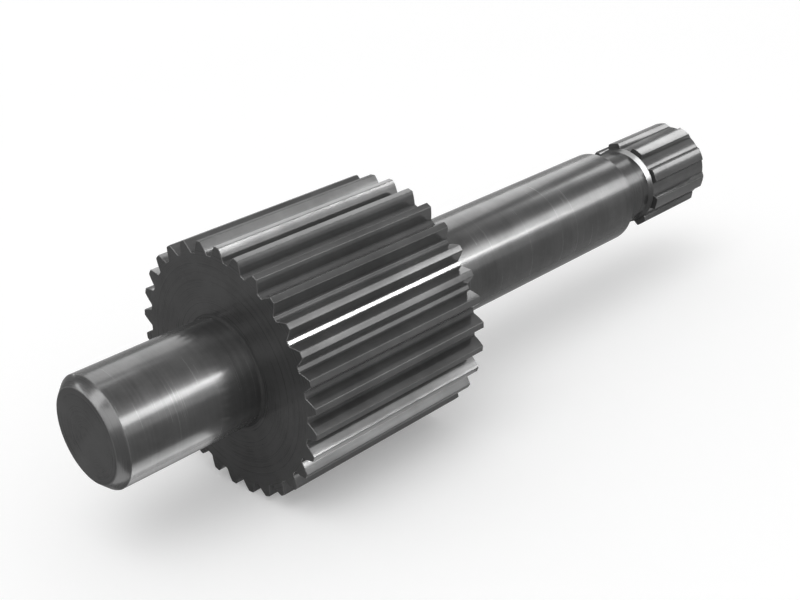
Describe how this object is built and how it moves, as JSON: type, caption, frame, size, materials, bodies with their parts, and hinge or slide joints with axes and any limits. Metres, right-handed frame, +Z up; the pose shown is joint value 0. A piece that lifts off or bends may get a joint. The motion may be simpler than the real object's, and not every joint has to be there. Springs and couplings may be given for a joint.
{
  "type": "pump drive shaft",
  "caption": "One-piece pump drive shaft with a plain front journal, a spur drive gear, a long bearing seat, a relieved neck and an output spline.",
  "frame": {"origin": "centre of the front journal's end face, on the shaft's axis", "axes": "+X along the shaft from the front journal to the output spline, +Z up; a tooth gap of the drive gear points straight down and the shaft rests level on the two teeth beside it"},
  "size_m": [0.161, 0.0468, 0.0468],
  "materials": {
    "steel": "hardened steel, ground journals, hobbed teeth, turned faces and a thin film of oil"
  },
  "bodies": {
    "root": {"drive_shaft": "steel"}
  },
  "joints": []
}
